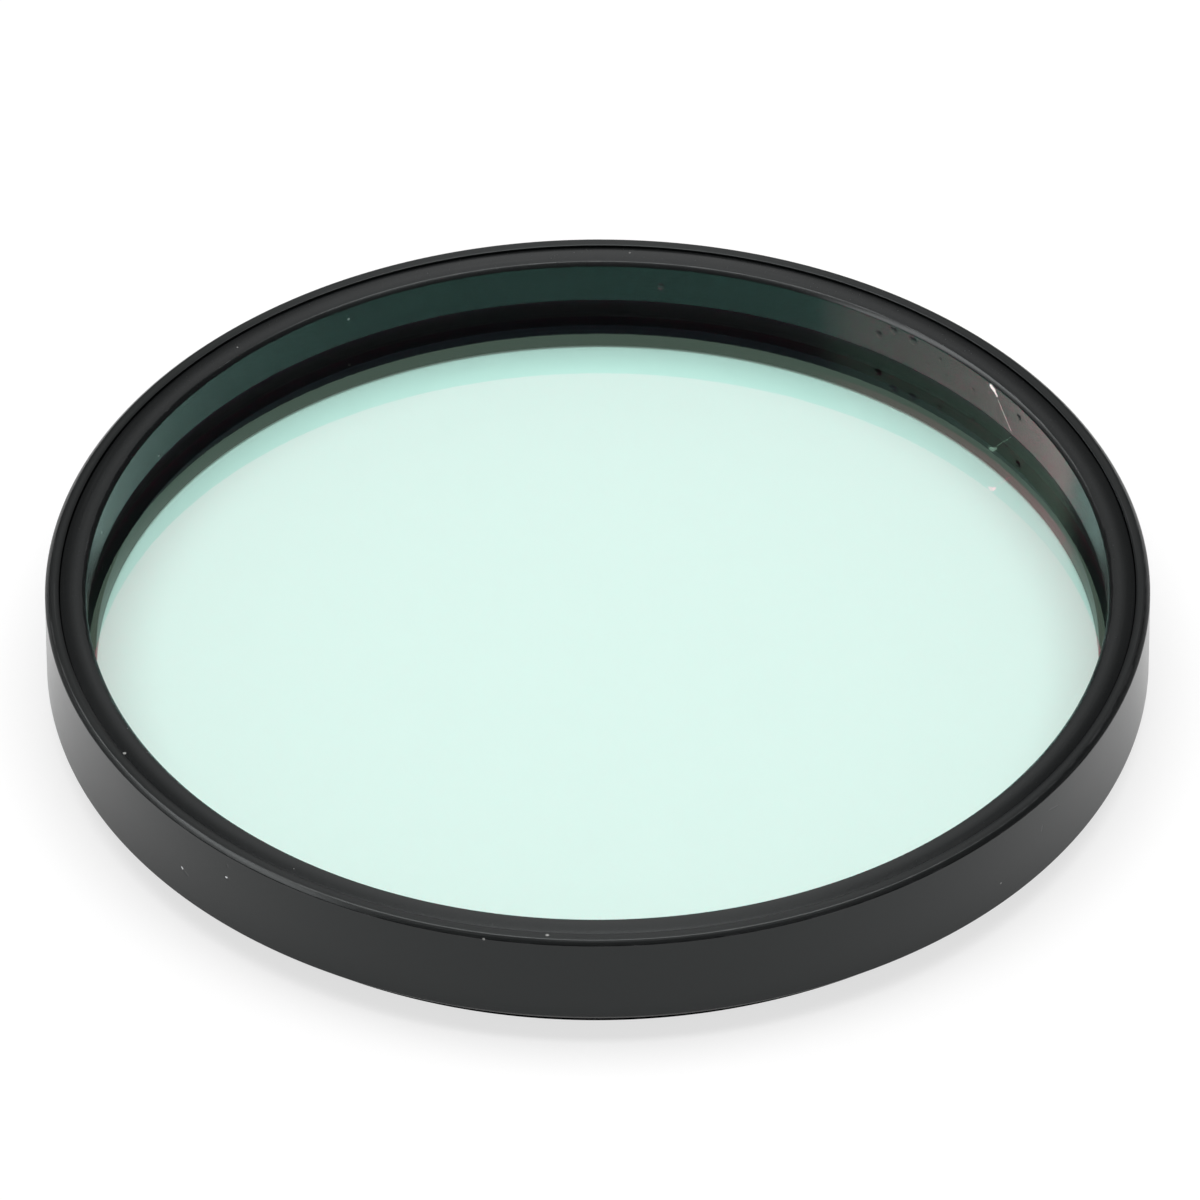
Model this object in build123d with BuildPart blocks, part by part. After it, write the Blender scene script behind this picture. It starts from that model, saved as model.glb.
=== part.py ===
from build123d import *
import os

# A coated glass filter in a turned low-profile cell, sizes in millimetres.
# Z is the optical axis. Z = 0 is the end of the spigot on the back, and the front,
# where the retaining ring shows, faces +Z.

os.makedirs("parts", exist_ok=True)

# Back of the cell: a short spigot for a fine thread, M48 x 0.75
thread_d = 48.0
thread_l = 1.0
thread_bevel = 0.2
spigot_wall = 0.9
aperture_bevel = 0.12

# Lip that carries the glass
lip_w = 0.8
web_t = 0.35

# Glass disc
glass_clear = 0.1
glass_t = 2.35
glass_bevel = 0.15

# Retaining ring, its bore in the cell and its fit
ring_step = 0.75
ring_clear = 0.05
ring_w = 1.2
ring_h = 2.2
ring_sink = 0.1
ring_relief = 0.2
window_bevel = 0.18
ring_edge = 0.05

# Outside of the cell
rim_wall = 0.65
rim_mouth_bevel = 0.08
front_bevel = 0.2
back_bevel = 0.6

# Radii, from the axis outwards
thread_r = thread_d / 2
aperture_r = thread_r - spigot_wall
glass_r = aperture_r + lip_w
pocket_r = glass_r + glass_clear
bore_r = pocket_r + ring_step
ring_r = bore_r - ring_clear
window_r = ring_r - ring_w
flange_r = bore_r + rim_wall

# Heights, from the back to the front: seat of the glass, face of the glass, ring and rim
seat_z = thread_l + web_t
glass_top_z = seat_z + glass_t
bore_floor_z = glass_top_z - ring_relief
ring_top_z = glass_top_z + ring_h
rim_z = ring_top_z + ring_sink


def turned_edges(part, radius, height):
    """The circular edges of a turned part that have this radius at this height."""
    circles = part.edges().filter_by(GeomType.CIRCLE)
    at_radius = circles.filter_by(lambda e: abs(e.radius - radius) < 1e-5)
    return at_radius.filter_by(lambda e: abs(e.center().Z - height) < 1e-5)


# Cell: one turned piece. From the back its section is the spigot, the flange with the side
# wall, the rim, the bore of the retaining ring, the glass pocket and the lip.
with BuildPart() as cell:
    with BuildSketch(Plane.XZ):
        with BuildLine():
            Polyline(
                (aperture_r, 0),
                (thread_r, 0),
                (thread_r, thread_l),
                (flange_r, thread_l),
                (flange_r, rim_z),
                (bore_r, rim_z),
                (bore_r, bore_floor_z),
                (pocket_r, bore_floor_z),
                (pocket_r, seat_z),
                (aperture_r, seat_z),
                close=True,
            )
        make_face()
    revolve(axis=Axis.Z)
    chamfer(turned_edges(cell.part, flange_r, rim_z), length=front_bevel)
    chamfer(turned_edges(cell.part, flange_r, thread_l), length=back_bevel)
    chamfer(turned_edges(cell.part, bore_r, rim_z), length=rim_mouth_bevel)
    chamfer(turned_edges(cell.part, thread_r, 0), length=thread_bevel)
    chamfer(turned_edges(cell.part, aperture_r, 0), length=aperture_bevel)

# Glass: a plane disc with a fine bevel on both edges, lying on the lip.
with BuildPart() as filter_glass:
    with BuildSketch(Plane.XY.offset(seat_z)):
        Circle(glass_r)
    extrude(amount=glass_t)
    chamfer(filter_glass.edges().filter_by(GeomType.CIRCLE), length=glass_bevel)

# Retaining ring: a turned ring that lies on the glass, with its window bevelled to the front.
with BuildPart() as retaining_ring:
    with BuildSketch(Plane.XY.offset(glass_top_z)):
        Circle(ring_r)
        Circle(window_r, mode=Mode.SUBTRACT)
    extrude(amount=ring_h)
    chamfer(turned_edges(retaining_ring.part, window_r, ring_top_z), length=window_bevel)
    chamfer(turned_edges(retaining_ring.part, ring_r, ring_top_z), length=ring_edge)
    chamfer(turned_edges(retaining_ring.part, ring_r, glass_top_z), length=ring_edge)

cell.part.label = "cell"
filter_glass.part.label = "filter_glass"
retaining_ring.part.label = "retaining_ring"

export_step(cell.part, "parts/cell.step")
export_step(filter_glass.part, "parts/filter_glass.step")
export_step(retaining_ring.part, "parts/retaining_ring.step")
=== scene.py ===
import math

import bpy
from mathutils import Matrix, Vector


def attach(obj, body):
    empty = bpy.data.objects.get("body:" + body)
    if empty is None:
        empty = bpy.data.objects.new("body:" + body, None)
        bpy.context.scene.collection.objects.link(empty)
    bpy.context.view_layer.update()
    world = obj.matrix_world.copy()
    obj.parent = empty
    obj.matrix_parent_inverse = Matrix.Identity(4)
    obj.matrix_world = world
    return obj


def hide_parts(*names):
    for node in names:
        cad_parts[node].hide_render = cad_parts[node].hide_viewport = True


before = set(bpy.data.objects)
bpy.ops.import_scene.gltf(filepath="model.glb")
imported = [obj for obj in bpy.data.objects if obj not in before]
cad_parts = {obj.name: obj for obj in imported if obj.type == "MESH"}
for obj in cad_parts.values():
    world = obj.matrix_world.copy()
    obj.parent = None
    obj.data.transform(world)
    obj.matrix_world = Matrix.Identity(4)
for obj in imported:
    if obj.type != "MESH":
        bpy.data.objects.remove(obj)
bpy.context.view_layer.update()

MM = 0.001


# Studio
# A white sweep under and behind the filter. A wide softbox hangs over it, a narrow tall panel
# stands at its back, and a long softbox on its left shows only in reflections.
def node(tree, kind, inputs=None, **settings):
    """A shader node; its inputs are given as values or as the sockets that feed them."""
    made = tree.nodes.new(kind)
    for key, value in settings.items():
        setattr(made, key, value)
    for key, value in (inputs or {}).items():
        if isinstance(value, bpy.types.NodeSocket):
            tree.links.new(value, made.inputs[key])
        else:
            made.inputs[key].default_value = value
    return made


def maths(tree, operation, first, second=0.0, clamped=False):
    """The result of one sum on two values or sockets."""
    values = {0: first, 1: second}
    return node(tree, "ShaderNodeMath", values, operation=operation, use_clamp=clamped).outputs[0]


def new_material(name):
    """An empty node material and its tree."""
    material = bpy.data.materials.new(name)
    material.use_nodes = True
    material.node_tree.nodes.clear()
    return material, material.node_tree


def softbox(name, azimuth, elevation, distance, width, height, radiance, only_reflected=False):
    """A rectangular lamp; azimuth 0 is behind the filter (+Y) and 90 is on its left (-X)."""
    lamp = bpy.data.lights.new(name, "AREA")
    lamp.shape = "RECTANGLE"
    lamp.size = width
    lamp.size_y = height
    lamp.energy = radiance * math.pi * width * height
    box = bpy.data.objects.new(name, lamp)
    bpy.context.scene.collection.objects.link(box)
    a, e = math.radians(azimuth), math.radians(elevation)
    way = Vector((-math.sin(a) * math.cos(e), math.cos(a) * math.cos(e), math.sin(e)))
    box.location = way * distance
    box.rotation_euler = (-way).to_track_quat("-Z", "Y").to_euler()
    box.visible_camera = False
    box.visible_diffuse = not only_reflected


softbox("top_softbox", azimuth=0, elevation=87, distance=0.9, width=1.05, height=0.62, radiance=4.3)
softbox("back_panel", azimuth=0, elevation=38, distance=1.2, width=0.19, height=1.0, radiance=0.90)
softbox(
    "left_softbox", azimuth=84, elevation=40, distance=1.0, width=1.3, height=0.26, radiance=5.0,
    only_reflected=True,
)

room_light = 0.25
room_reflected = 0.10
world = bpy.data.worlds.new("studio")
bpy.context.scene.world = world
world.use_nodes = True
tree = world.node_tree
tree.nodes.clear()
path = node(tree, "ShaderNodeLightPath").outputs
straight = maths(tree, "LESS_THAN", path["Glossy Depth"], 0.5)
straight = maths(tree, "MULTIPLY", path["Is Transmission Ray"], straight)
seen = maths(tree, "MAXIMUM", path["Is Camera Ray"], straight)
dim = node(
    tree, "ShaderNodeMapRange",
    {"Value": path["Is Glossy Ray"], "To Min": room_light, "To Max": room_reflected},
)
level = node(tree, "ShaderNodeMapRange", {"Value": seen, "To Min": dim.outputs[0], "To Max": 1.0})
room = node(tree, "ShaderNodeBackground", {"Color": (1, 1, 1, 1), "Strength": level.outputs[0]})
node(tree, "ShaderNodeOutputWorld", {"Surface": room.outputs[0]})

# The sweep is white paper. Seen straight it glows, so that it stays white with a light shadow,
# and in a reflection or through the glass it keeps more of its shadow.
paper_white = 0.86
glow_seen = 0.70
glow_through = 0.10
bpy.ops.mesh.primitive_plane_add(size=3.0, location=(0, 0, 0))
floor = bpy.context.object
floor.name = "floor"
paper, tree = new_material("white_paper")
path = node(tree, "ShaderNodeLightPath").outputs
seen = path["Is Camera Ray"]
through = maths(tree, "MAXIMUM", path["Is Transmission Ray"], path["Is Glossy Ray"])
through = maths(tree, "MULTIPLY", through, glow_through)
glow = maths(tree, "MAXIMUM", maths(tree, "MULTIPLY", seen, glow_seen), through)
shade = node(tree, "ShaderNodeMapRange", {"Value": seen, "To Min": paper_white, "To Max": 1 - glow_seen})
diffuse = node(tree, "ShaderNodeBsdfDiffuse", {"Color": shade.outputs[0]})
lit = node(tree, "ShaderNodeEmission", {"Color": (1, 1, 1, 1), "Strength": glow})
both = node(tree, "ShaderNodeAddShader", {0: diffuse.outputs[0], 1: lit.outputs[0]})
node(tree, "ShaderNodeOutputMaterial", {"Surface": both.outputs[0]})
floor.data.materials.append(paper)

# The camera stands 0.8 m away and looks down on the front of the filter.
photo_px = 1200
focal_px = 17406
camera_elevation = math.radians(39.76)
camera_roll = math.radians(-0.207)
camera_distance = 800
shift_right = 0.110
shift_up = -0.862
aim_z = 6.0
right = Vector((1, 0, 0))
ahead = Vector((0, math.cos(camera_elevation), -math.sin(camera_elevation)))
up = Vector((0, math.sin(camera_elevation), math.cos(camera_elevation)))
place = Vector((0, 0, aim_z)) - ahead * camera_distance + right * shift_right + up * shift_up
camera_right = right * math.cos(camera_roll) + up * math.sin(camera_roll)
camera_up = up * math.cos(camera_roll) - right * math.sin(camera_roll)
lens = bpy.data.cameras.new("camera")
lens.sensor_width = 36.0
lens.lens = focal_px / photo_px * lens.sensor_width
lens.clip_start = 0.05
lens.clip_end = 20.0
camera = bpy.data.objects.new("camera", lens)
bpy.context.scene.collection.objects.link(camera)
axes = Matrix((camera_right, camera_up, -ahead)).transposed()
camera.matrix_world = Matrix.Translation(place * MM) @ axes.to_4x4()
bpy.context.scene.camera = camera


# Cell
# One turned piece of aluminium, anodised black all over. Its spigot carries an M48 x 0.75 thread
# for a nosepiece or adapter, and the lip at the foot of the pocket carries the glass.
def turned(name, section, sides=384, edge_break=0.03):
    """A closed turned piece: a circle is extruded and scaled from point to point of its section."""
    bpy.ops.object.select_all(action="DESELECT")
    r, z = section[0]
    bpy.ops.mesh.primitive_circle_add(vertices=sides, radius=r * MM, location=(0, 0, 0))
    piece = bpy.context.object
    piece.name = name
    bpy.ops.object.mode_set(mode="EDIT")
    bpy.ops.mesh.select_all(action="SELECT")
    bpy.ops.transform.translate(value=(0, 0, z * MM))
    for to_r, to_z in section[1:] + section[:1]:
        bpy.ops.mesh.extrude_edges_move(TRANSFORM_OT_translate={"value": (0, 0, (to_z - z) * MM)})
        bpy.ops.transform.resize(value=(to_r / r, to_r / r, 1), center_override=(0, 0, 0))
        r, z = to_r, to_z
    bpy.ops.mesh.select_all(action="SELECT")
    bpy.ops.mesh.remove_doubles(threshold=1e-7)
    bpy.ops.mesh.normals_make_consistent(inside=False)
    bpy.ops.object.mode_set(mode="OBJECT")
    bpy.ops.object.shade_smooth()
    if edge_break:
        bevel = piece.modifiers.new("edge_break", "BEVEL")
        bevel.width = edge_break * MM
        bevel.segments = 2
        bevel.limit_method = "ANGLE"
        bevel.angle_limit = math.radians(30)
        bevel.face_strength_mode = "FSTR_ALL"
        bpy.ops.object.modifier_apply(modifier="edge_break")
    return piece


def even_shading(piece):
    """Marks the level faces as flat and leans the other normals towards the strong faces."""
    for face in piece.data.polygons:
        face.use_smooth = abs(face.normal.z) < 0.9999
    even = piece.modifiers.new("even_shading", "WEIGHTED_NORMAL")
    even.use_face_influence = True
    bpy.ops.object.modifier_apply(modifier=even.name)


def shader_group(name, inputs, outputs):
    """An empty shader node group, with the sockets of its input node and its output node."""
    group = bpy.data.node_groups.new(name, "ShaderNodeTree")
    for label, kind in inputs.items():
        group.interface.new_socket(label, in_out="INPUT", socket_type="NodeSocket" + kind)
    for label in outputs:
        group.interface.new_socket(label, in_out="OUTPUT", socket_type="NodeSocketFloat")
    return group, node(group, "NodeGroupInput").outputs, node(group, "NodeGroupOutput")


def radius_and_angle(tree, position):
    """Distance from the axis, angle round it and height, from a position on the piece."""
    apart = node(tree, "ShaderNodeSeparateXYZ", {0: position}).outputs
    flat = node(tree, "ShaderNodeCombineXYZ", {0: apart[0], 1: apart[1]}).outputs[0]
    radius = node(tree, "ShaderNodeVectorMath", {0: flat}, operation="LENGTH").outputs["Value"]
    return radius, maths(tree, "ARCTAN2", apart[1], apart[0]), apart[2]


# Fine rings that the turning tool leaves, and a few brighter arcs among them.
turning, given, result = shader_group(
    "turning_rings", {"Position": "Vector", "Grooves": "Float"}, ("Height", "Arcs")
)
radius, angle, height = radius_and_angle(turning, given["Position"])
across = node(turning, "ShaderNodeCombineXYZ", {0: radius, 1: height}).outputs[0]
rings = node(
    turning, "ShaderNodeTexNoise", {"Vector": across, "Scale": given["Grooves"], "Detail": 3.0},
    noise_dimensions="2D",
)
turning.links.new(rings.outputs[0], result.inputs["Height"])
along = maths(turning, "MULTIPLY", angle, 0.00018)
stretched = node(turning, "ShaderNodeCombineXYZ", {0: radius, 1: height, 2: along}).outputs[0]
arcs = node(turning, "ShaderNodeTexNoise", {"Vector": stretched, "Scale": 11000, "Detail": 2.0})
arcs = node(
    turning, "ShaderNodeMapRange", {"Value": arcs.outputs[0], "From Min": 0.60, "From Max": 0.78}
)
turning.links.new(arcs.outputs[0], result.inputs["Arcs"])

# Grains of dust: a speck in a share of the cells of a cellular pattern, each of its own size.
dust, given, result = shader_group(
    "dust_specks", {"Position": "Vector", "Spacing": "Float", "Size": "Float", "Share": "Float"}, ("Mask",)
)
cells_per_metre = maths(dust, "DIVIDE", 1.0, given["Spacing"])
cells = node(dust, "ShaderNodeTexVoronoi", {"Vector": given["Position"], "Scale": cells_per_metre})
distance = maths(dust, "MULTIPLY", cells.outputs["Distance"], given["Spacing"])
chance = node(dust, "ShaderNodeSeparateColor", {0: cells.outputs["Color"]}).outputs
own_size = maths(dust, "MULTIPLY", given["Size"], maths(dust, "ADD", chance[1], 0.4))
speck = maths(dust, "SUBTRACT", 1.0, maths(dust, "DIVIDE", distance, own_size), clamped=True)
speck = maths(dust, "MULTIPLY", speck, 2.5, clamped=True)
picked = maths(dust, "LESS_THAN", chance[0], given["Share"])
dust.links.new(maths(dust, "MULTIPLY", speck, picked), result.inputs["Mask"])

# A pale line on a round edge, in broken stretches: partly thinner, worn anodising and partly a painted edge
# highlight.
edge_wear_and_highlight, given, result = shader_group(
    "worn_edge_and_highlight", {"Position": "Vector", "Radius": "Float", "Height": "Float", "Width": "Float"}, ("Mask",)
)
radius, angle, height = radius_and_angle(edge_wear_and_highlight, given["Position"])
off_radius = maths(edge_wear_and_highlight, "SUBTRACT", radius, given["Radius"])
off_height = maths(edge_wear_and_highlight, "SUBTRACT", height, given["Height"])
off = node(edge_wear_and_highlight, "ShaderNodeCombineXYZ", {0: off_radius, 1: off_height})
off = node(edge_wear_and_highlight, "ShaderNodeVectorMath", {0: off.outputs[0]}, operation="LENGTH").outputs["Value"]
near = maths(edge_wear_and_highlight, "SUBTRACT", 1.0, maths(edge_wear_and_highlight, "DIVIDE", off, given["Width"]), clamped=True)
broken = node(edge_wear_and_highlight, "ShaderNodeTexNoise", {"Vector": given["Position"], "Scale": 900, "Detail": 4.0})
broken = node(
    edge_wear_and_highlight, "ShaderNodeMapRange", {"Value": broken.outputs[0], "From Min": 0.45, "From Max": 0.70}
)
edge_wear_and_highlight.links.new(maths(edge_wear_and_highlight, "MULTIPLY", near, broken.outputs[0]), result.inputs["Mask"])

# A straight scratch on a turned wall, between two points given as arc length and height.
scratch, given, result = shader_group(
    "scratch", {"Position": "Vector", "Start": "Vector", "End": "Vector", "Width": "Float"}, ("Mask",)
)
radius, angle, height = radius_and_angle(scratch, given["Position"])
arc = maths(scratch, "MULTIPLY", angle, radius)
spot = node(scratch, "ShaderNodeCombineXYZ", {0: arc, 1: height}).outputs[0]
run = node(scratch, "ShaderNodeVectorMath", {0: given["End"], 1: given["Start"]}, operation="SUBTRACT")
to_spot = node(scratch, "ShaderNodeVectorMath", {0: spot, 1: given["Start"]}, operation="SUBTRACT")
dots = [
    node(scratch, "ShaderNodeVectorMath", {0: v.outputs[0], 1: run.outputs[0]}, operation="DOT_PRODUCT")
    for v in (to_spot, run)
]
part_way = maths(scratch, "DIVIDE", dots[0].outputs["Value"], dots[1].outputs["Value"], clamped=True)
foot = node(scratch, "ShaderNodeVectorMath", {0: run.outputs[0], "Scale": part_way}, operation="SCALE")
apart = node(
    scratch, "ShaderNodeVectorMath", {0: to_spot.outputs[0], 1: foot.outputs[0]}, operation="DISTANCE"
)
mask = maths(scratch, "DIVIDE", apart.outputs["Value"], given["Width"])
mask = maths(scratch, "SUBTRACT", 1.0, mask, clamped=True)
scratch.links.new(maths(scratch, "MULTIPLY", mask, 2.0, clamped=True), result.inputs["Mask"])


def anodised(
    name, roughness, anisotropic, grooves, arcs, dusty,
    ior=1.5, reflected=(0.95, 1.0, 1.0, 1), edges=(), bright_marks=(), dark_marks=(),
):
    """Black anodised aluminium: turned rings and paler arcs, fine grain, dust, single marks, and pale edge
    lines that are partly wear and partly a painted highlight.
    """
    dye = (0.0022, 0.0026, 0.0028, 1)
    # A paler tone for the arcs and the edge lines; on the edges it is partly a painted highlight.
    pale_tone = (0.030, 0.030, 0.031, 1)
    dust_grey = (0.30, 0.30, 0.29, 1)
    bare_metal = (0.62, 0.63, 0.64, 1)
    grooves_per_metre = 9000.0
    grains_per_metre = 13000
    dust_spacing = 1.3
    dust_size = 0.075
    edge_line_width = 0.07
    rough_spread = 0.10
    dust_rough = 0.4
    grain_relief = 0.18
    dent_relief = 1.5
    relief_height = 0.004
    material, tree = new_material(name)
    position = node(tree, "ShaderNodeTexCoord").outputs["Object"]
    rings = node(
        tree, "ShaderNodeGroup", {"Position": position, "Grooves": grooves_per_metre}, node_tree=turning
    )
    specks = node(
        tree, "ShaderNodeGroup",
        {"Position": position, "Spacing": dust_spacing * MM, "Size": dust_size * MM, "Share": dusty},
        node_tree=dust,
    ).outputs[0]
    grain = node(
        tree, "ShaderNodeTexNoise", {"Vector": position, "Scale": grains_per_metre, "Detail": 2.0}
    ).outputs[0]
    # Paler arcs, then pale lines on the listed edges, which are partly worn anodising and partly a painted
    # highlight.
    pale_lines = maths(tree, "MULTIPLY", rings.outputs["Arcs"], arcs)
    for edge_r, edge_z in edges:
        edge_line_mask = node(
            tree, "ShaderNodeGroup",
            {"Position": position, "Radius": edge_r * MM, "Height": edge_z * MM,
             "Width": edge_line_width * MM},
            node_tree=edge_wear_and_highlight,
        )
        pale_lines = maths(tree, "MAXIMUM", pale_lines, edge_line_mask.outputs[0])
    marks = {"bright": 0.0, "dark": 0.0}
    for kind, lines in (("bright", bright_marks), ("dark", dark_marks)):
        for start, end, width in lines:
            drawn = node(
                tree, "ShaderNodeGroup",
                {"Position": position, "Start": start, "End": end, "Width": width * MM},
                node_tree=scratch,
            )
            marks[kind] = maths(tree, "MAXIMUM", marks[kind], drawn.outputs[0])
    colour = dye
    for mask, paint in ((pale_lines, pale_tone), (specks, dust_grey), (marks["bright"], bare_metal)):
        if mask:
            mixed = node(
                tree, "ShaderNodeMix", {"Factor": mask, "A": colour, "B": paint}, data_type="RGBA"
            )
            colour = mixed.outputs["Result"]
    rough = maths(tree, "MULTIPLY_ADD", grain, rough_spread)
    rough.node.inputs[2].default_value = roughness - rough_spread / 2
    rough = maths(tree, "ADD", rough, maths(tree, "MULTIPLY", specks, dust_rough), clamped=True)
    relief = maths(tree, "MULTIPLY", rings.outputs["Height"], grooves)
    relief = maths(tree, "ADD", relief, maths(tree, "MULTIPLY", grain, grain_relief))
    if dark_marks:
        relief = maths(tree, "SUBTRACT", relief, maths(tree, "MULTIPLY", marks["dark"], dent_relief))
    bump = node(
        tree, "ShaderNodeBump", {"Strength": 1.0, "Distance": relief_height * MM, "Height": relief}
    )
    shader = node(
        tree, "ShaderNodeBsdfPrincipled",
        {"Base Color": colour, "Roughness": rough, "IOR": ior, "Specular Tint": reflected,
         "Anisotropic": anisotropic, "Anisotropic Rotation": 0.25, "Normal": bump.outputs[0]},
    )
    if bright_marks:
        tree.links.new(marks["bright"], shader.inputs["Metallic"])
    if anisotropic:
        tangent = node(tree, "ShaderNodeTangent", direction_type="RADIAL", axis="Z")
        tree.links.new(tangent.outputs[0], shader.inputs["Tangent"])
    node(tree, "ShaderNodeOutputMaterial", {"Surface": shader.outputs[0]})
    return material


def on_wall(wall_r, degrees, z):
    """A point on a turned wall as its arc length and height, in metres."""
    return (math.radians((degrees + 180) % 360 - 180) * wall_r * MM, z * MM, 0)


flange_r = 25.4
bore_r = 24.75
pocket_r = 24.0
thread_r = 24.0
aperture_r = 23.1
spigot_l = 1.0
seat_z = 1.35
bore_floor_z = 3.5
rim_z = 6.0
aperture_bevel = 0.12
thread_bevel = 0.2
back_bevel = 0.6
front_bevel = 0.2
cell = turned(
    "turned_cell",
    [
        (aperture_r + aperture_bevel, 0), (thread_r - thread_bevel, 0), (thread_r, thread_bevel),
        (thread_r, spigot_l), (flange_r - back_bevel, spigot_l), (flange_r, spigot_l + back_bevel),
        (flange_r, rim_z - front_bevel), (flange_r - front_bevel, rim_z), (bore_r, rim_z),
        (bore_r, bore_floor_z), (pocket_r, bore_floor_z), (pocket_r, seat_z), (aperture_r, seat_z),
        (aperture_r, aperture_bevel),
    ],
)

# The thread: the wall of the spigot is cut into fine rows, and each point moves in to the form
# of a 60 degree thread, which runs out at the shoulder.
thread_pitch = 0.75
thread_depth = 0.41
crest_flat = 0.125
root_flat = 0.25
run_out = 0.14
thread_rows = 25
flank = (1 - crest_flat - root_flat) / 2


def select_faces(piece, wanted):
    """Selects the faces of a piece whose centre has a wanted radius and height, in edit mode."""
    bpy.ops.object.mode_set(mode="EDIT")
    bpy.ops.mesh.select_all(action="DESELECT")
    bpy.ops.object.mode_set(mode="OBJECT")
    for face in piece.data.polygons:
        c = face.center / MM
        face.select = wanted(math.hypot(c.x, c.y), c.z)
    bpy.ops.object.mode_set(mode="EDIT")


def on_spigot_wall(r, z):
    """True on the cylinder that the thread is cut into."""
    return thread_r - thread_bevel / 2 < r < thread_r + 0.01 and z < spigot_l


for row in range(1, thread_rows):
    select_faces(cell, on_spigot_wall)
    bpy.ops.mesh.bisect(
        plane_co=(0, 0, row / thread_rows * spigot_l * MM), plane_no=(0, 0, 1), threshold=1e-7
    )
    bpy.ops.object.mode_set(mode="OBJECT")
for vertex in cell.data.vertices:
    x, y, z = vertex.co / MM
    r = math.hypot(x, y)
    if aperture_r + 0.5 < r < thread_r + 0.01 and 0.01 < z < spigot_l - 0.01:
        turn = (z / thread_pitch - math.atan2(y, x) / (2 * math.pi)) % 1
        from_crest = min(turn, 1 - turn)
        cut = min(max((from_crest - crest_flat / 2) / flank, 0), 1)
        cut *= min((spigot_l - z) / run_out, 1)
        new_r = min(r, thread_r - thread_depth * cut)
        vertex.co.x *= new_r / r
        vertex.co.y *= new_r / r
even_shading(cell)

side_pits = [
    (on_wall(flange_r, 222.1, 3.30), on_wall(flange_r, 222.8, 3.10), 0.10),
    (on_wall(flange_r, 228.6, 4.55), on_wall(flange_r, 228.8, 4.45), 0.12),
    (on_wall(flange_r, 228.7, 5.25), on_wall(flange_r, 228.7, 5.15), 0.07),
    (on_wall(flange_r, 323.7, 4.90), on_wall(flange_r, 325.2, 4.70), 0.05),
    (on_wall(flange_r, 322.5, 4.35), on_wall(flange_r, 322.4, 4.05), 0.05),
]
side_flecks = [
    (on_wall(flange_r, 222.0, 3.36), on_wall(flange_r, 222.1, 3.30), 0.06),
    (on_wall(flange_r, 228.5, 4.50), on_wall(flange_r, 228.6, 4.50), 0.06),
]
# The front bevel edges carry a pale line that is partly wear and partly a painted highlight.
cell_edges = [(flange_r, rim_z - front_bevel), (flange_r - front_bevel, rim_z)]
cell.data.materials.append(
    anodised(
        "cell_wall_anodising", roughness=0.13, anisotropic=0.0, grooves=0.10, arcs=0.0, dusty=0.03,
        ior=1.43, edges=cell_edges, bright_marks=side_flecks, dark_marks=side_pits,
    )
)
cell.data.materials.append(
    anodised(
        "rim_anodising", roughness=0.32, anisotropic=0.5, grooves=0.5, arcs=0.8, dusty=0.6,
        edges=cell_edges,
    )
)
cell.data.materials.append(
    anodised(
        "lip_anodising", roughness=0.3, anisotropic=0.0, grooves=0.3, arcs=0.2, dusty=0.2,
        ior=1.25, reflected=(0.55, 0.45, 0.70, 1),
    )
)
for face in cell.data.polygons:
    c = face.center / MM
    r = math.hypot(c.x, c.y)
    if face.normal.z > 0.6 and c.z > rim_z - front_bevel:
        face.material_index = 1
    elif r < thread_r + 0.01:
        face.material_index = 2
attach(cell, "root")
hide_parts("cell")


# Retaining ring
# A turned ring, black like the cell, pushed into the bore just below the rim. It lies on the
# glass, and its window edge is bevelled. Its wall is smoother than its face and shows droplets.
ring_r = 24.72
window_r = 23.5
window_bevel = 0.18
ring_foot_z = 3.7
ring_top_z = 5.9
ring = turned(
    "window_ring",
    [
        (ring_r, ring_foot_z), (ring_r, ring_top_z), (window_r + window_bevel, ring_top_z),
        (window_r, ring_top_z - window_bevel), (window_r, ring_foot_z),
    ],
    edge_break=0.02,
)
even_shading(ring)
wall_scratches = [
    (on_wall(window_r, 38.5, 5.58), on_wall(window_r, 38.0, 5.48), 0.17),
    (on_wall(window_r, 38.0, 5.48), on_wall(window_r, 37.5, 5.28), 0.10),
    (on_wall(window_r, 37.3, 5.08), on_wall(window_r, 34.8, 3.90), 0.014),
]
wall_dents = [
    (on_wall(window_r, 39.4, 5.45), on_wall(window_r, 39.2, 5.10), 0.20),
    (on_wall(window_r, 36.8, 4.45), on_wall(window_r, 36.3, 4.20), 0.22),
    (on_wall(window_r, 29.9, 5.37), on_wall(window_r, 29.6, 5.20), 0.06),
]
ring.data.materials.append(
    anodised(
        "ring_face_anodising", roughness=0.25, anisotropic=0.7, grooves=0.25, arcs=0.35, dusty=0.6,
        # The window edge carries a pale line that is partly wear and partly a painted highlight.
        edges=[(window_r + window_bevel, ring_top_z)],
    )
)
ring.data.materials.append(
    anodised(
        "ring_wall_anodising", roughness=0.17, anisotropic=0.0, grooves=0.05, arcs=0.0, dusty=0.45,
        reflected=(0.62, 0.95, 0.90, 1),
        bright_marks=wall_scratches, dark_marks=wall_dents,
    )
)
for face in ring.data.polygons:
    if math.hypot(face.center.x, face.center.y) < (window_r + 0.01) * MM:
        face.material_index = 1
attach(ring, "root")
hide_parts("retaining_ring")


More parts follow.
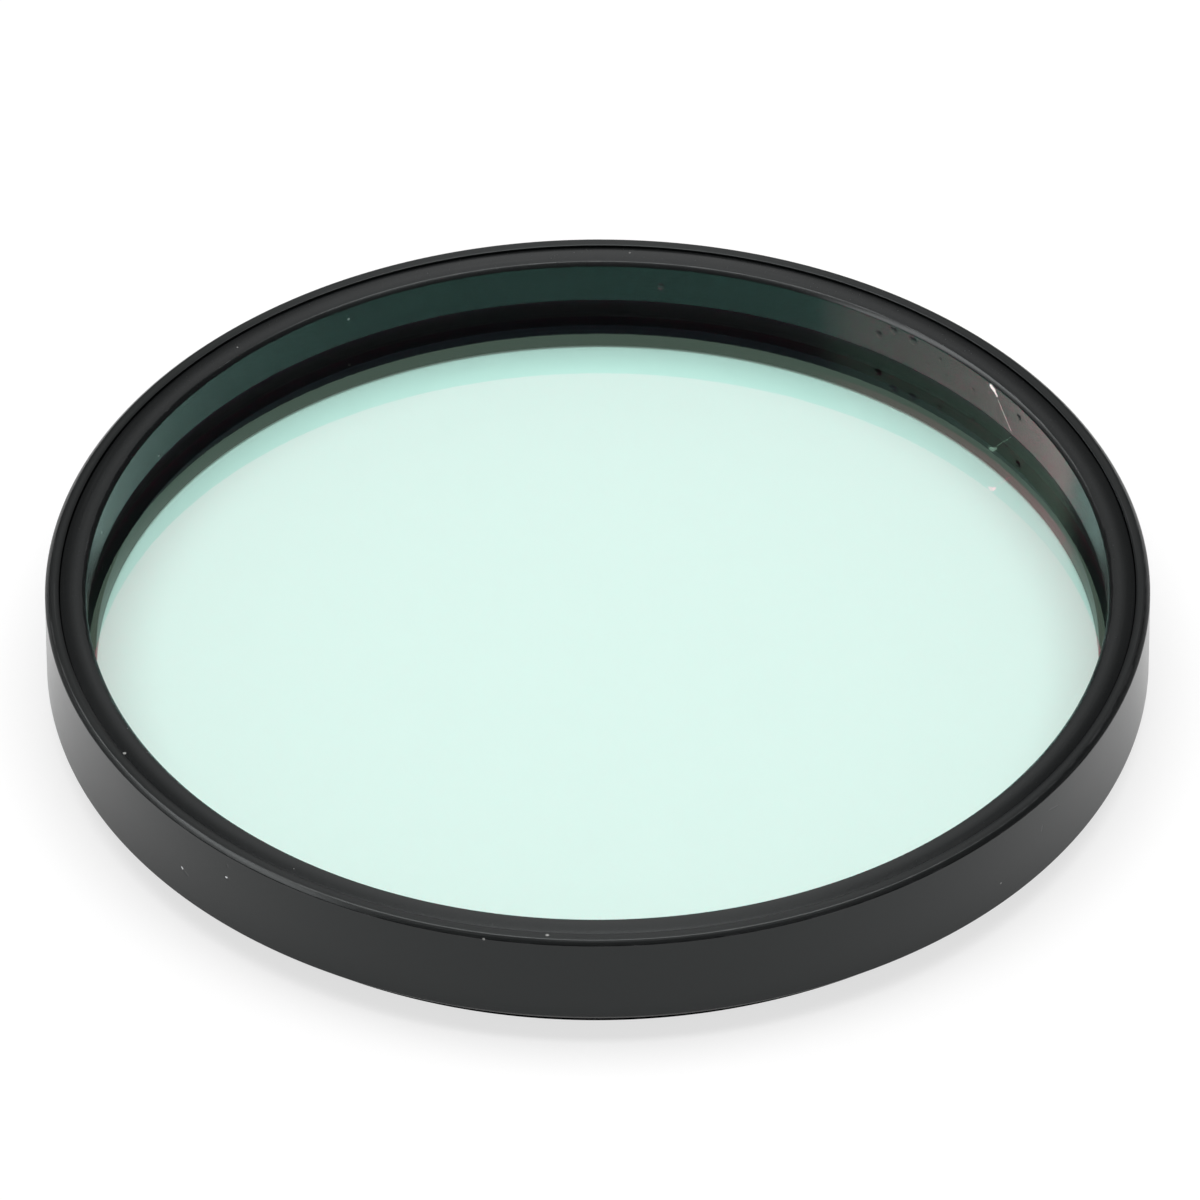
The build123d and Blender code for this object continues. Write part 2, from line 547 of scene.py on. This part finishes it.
# Droplets
# Tiny drops of moisture that have dried on to the wall of the ring, flat against it and drawn out
# a little downwards. They are glossy and as dark as the wall under them.
drops = [
    (55.8, 4.86, 0.40), (53.7, 5.45, 0.44), (51.0, 5.40, 0.46), (48.7, 4.48, 0.20), (46.9, 5.15, 0.27),
    (46.0, 4.37, 0.18), (41.6, 4.57, 0.24), (33.3, 5.10, 0.36), (82.6, 4.67, 0.34), (35.6, 4.60, 0.15),
]
drop_height = 0.42
drop_draw = 1.1
drop_parts = []
for degrees, z, width in drops:
    bpy.ops.object.select_all(action="DESELECT")
    bpy.ops.mesh.primitive_uv_sphere_add(
        segments=20, ring_count=12, radius=width / 2 * MM, location=(0, 0, 0)
    )
    drop = bpy.context.object
    bpy.ops.object.mode_set(mode="EDIT")
    bpy.ops.mesh.select_all(action="SELECT")
    bpy.ops.transform.resize(value=(drop_height, 1, drop_draw))
    bpy.ops.transform.translate(value=((window_r + 0.01) * MM, 0, z * MM))
    bpy.ops.transform.rotate(
        value=-math.radians(degrees), orient_axis="Z", center_override=(0, 0, 0)
    )
    bpy.ops.object.mode_set(mode="OBJECT")
    bpy.ops.object.shade_smooth()
    drop_parts.append(drop)
bpy.ops.object.select_all(action="DESELECT")
for drop in drop_parts:
    drop.select_set(True)
bpy.context.view_layer.objects.active = drop_parts[0]
bpy.ops.object.join()
droplets = bpy.context.object
droplets.name = "wall_droplets"
moisture, tree = new_material("dried_moisture")
position = node(tree, "ShaderNodeTexCoord").outputs["Object"]
cloud = node(tree, "ShaderNodeTexNoise", {"Vector": position, "Scale": 9000, "Detail": 2.0}).outputs[0]
film = node(
    tree, "ShaderNodeMix", {"Factor": cloud, "A": (0.004, 0.005, 0.006, 1), "B": (0.016, 0.018, 0.018, 1)},
    data_type="RGBA",
)
shine = node(tree, "ShaderNodeMapRange", {"Value": cloud, "To Min": 0.04, "To Max": 0.12})
shader = node(
    tree, "ShaderNodeBsdfPrincipled",
    {"Base Color": film.outputs["Result"], "Roughness": shine.outputs[0], "IOR": 1.6},
)
node(tree, "ShaderNodeOutputMaterial", {"Surface": shader.outputs[0]})
droplets.data.materials.append(moisture)
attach(droplets, "root")


# Filter glass
# A plane disc of polished glass with a fine bevel on both edges. The coating is on its lower face,
# and its ground edge is blackened, with a painted violet reflection where it is seen at a slant.
# It lies on the lip with a hair of air under and over it.
glass_r = 23.9
glass_bevel = 0.15
glass_foot_z = 1.352
glass_top_z = 3.698
hub_r = 0.5
glass = turned(
    "coated_disc",
    [
        (hub_r, glass_foot_z), (glass_r - glass_bevel, glass_foot_z), (glass_r, glass_foot_z + glass_bevel),
        (glass_r, glass_top_z - glass_bevel), (glass_r - glass_bevel, glass_top_z), (hub_r, glass_top_z),
    ],
    edge_break=0,
)
select_faces(glass, lambda r, z: r < hub_r * 1.01 and glass_foot_z + 0.01 < z < glass_top_z - 0.01)
bpy.ops.mesh.delete(type="FACE")
bpy.ops.mesh.select_all(action="DESELECT")
bpy.ops.mesh.select_non_manifold()
bpy.ops.mesh.edge_face_add()
bpy.ops.mesh.select_all(action="SELECT")
bpy.ops.mesh.normals_make_consistent(inside=False)
bpy.ops.object.mode_set(mode="OBJECT")
for face in glass.data.polygons:
    face.use_smooth = abs(face.normal.z) < 0.1


def glass_face(name, reflected, smudge_share):
    """One polished face of the disc, a little smudged. Lamps pass it unbent, tinted."""
    tint = (0.84, 0.93, 0.89, 1)
    smudged_tint = (0.80, 0.895, 0.855, 1)
    lamp_tint = (0.87, 0.975, 0.955, 1)
    material, tree = new_material(name)
    position = node(tree, "ShaderNodeTexCoord").outputs["Object"]
    specks = node(
        tree, "ShaderNodeGroup",
        {"Position": position, "Spacing": 2.6 * MM, "Size": 0.05 * MM, "Share": smudge_share},
        node_tree=dust,
    ).outputs[0]
    colour = node(tree, "ShaderNodeMix", {"Factor": specks, "A": tint, "B": smudged_tint}, data_type="RGBA")
    shader = node(
        tree, "ShaderNodeBsdfPrincipled",
        {"Base Color": colour.outputs["Result"], "Roughness": 0.0, "IOR": 1.46, "Transmission Weight": 1.0,
         "Specular Tint": reflected},
    )
    clear = node(tree, "ShaderNodeBsdfTransparent", {"Color": lamp_tint})
    path = node(tree, "ShaderNodeLightPath").outputs
    lamps = maths(tree, "MAXIMUM", path["Is Shadow Ray"], path["Is Diffuse Ray"])
    mixed = node(tree, "ShaderNodeMixShader", {0: lamps, 1: shader.outputs[0], 2: clear.outputs[0]})
    node(tree, "ShaderNodeOutputMaterial", {"Surface": mixed.outputs[0]})
    return material


glass.data.materials.append(glass_face("glass_front", reflected=(0.95, 1.7, 1.15, 1), smudge_share=0.5))
glass.data.materials.append(glass_face("glass_coating", reflected=(5.2, 0.1, 1.0, 1), smudge_share=0.3))
edge_black = (0.006, 0.006, 0.007, 1)
# The violet that the edge shows at a slant is a painted reflection.
painted_violet_reflection = (0.050, 0.018, 0.062, 1)
edge_paint_and_reflection, tree = new_material("blackened_edge_and_painted_reflection")
position = node(tree, "ShaderNodeTexCoord").outputs["Object"]
ground = node(tree, "ShaderNodeTexNoise", {"Vector": position, "Scale": 16000, "Detail": 3.0}).outputs[0]
slant = node(tree, "ShaderNodeLayerWeight", {"Blend": 0.5}).outputs["Facing"]
slant = maths(tree, "POWER", slant, 5.0)
paint = node(tree, "ShaderNodeMix", {"Factor": slant, "A": edge_black, "B": painted_violet_reflection}, data_type="RGBA")
rough = node(tree, "ShaderNodeMapRange", {"Value": ground, "To Min": 0.6, "To Max": 0.9})
shader = node(
    tree, "ShaderNodeBsdfPrincipled",
    {"Base Color": paint.outputs["Result"], "Roughness": rough.outputs[0], "Specular IOR Level": 0.15},
)
node(tree, "ShaderNodeOutputMaterial", {"Surface": shader.outputs[0]})
glass.data.materials.append(edge_paint_and_reflection)
for face in glass.data.polygons:
    if face.normal.z > 0.9:
        face.material_index = 0
    elif face.normal.z < -0.9:
        face.material_index = 1
    else:
        face.material_index = 2
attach(glass, "root")
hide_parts("filter_glass")

bpy.context.scene.view_settings.view_transform = "Standard"
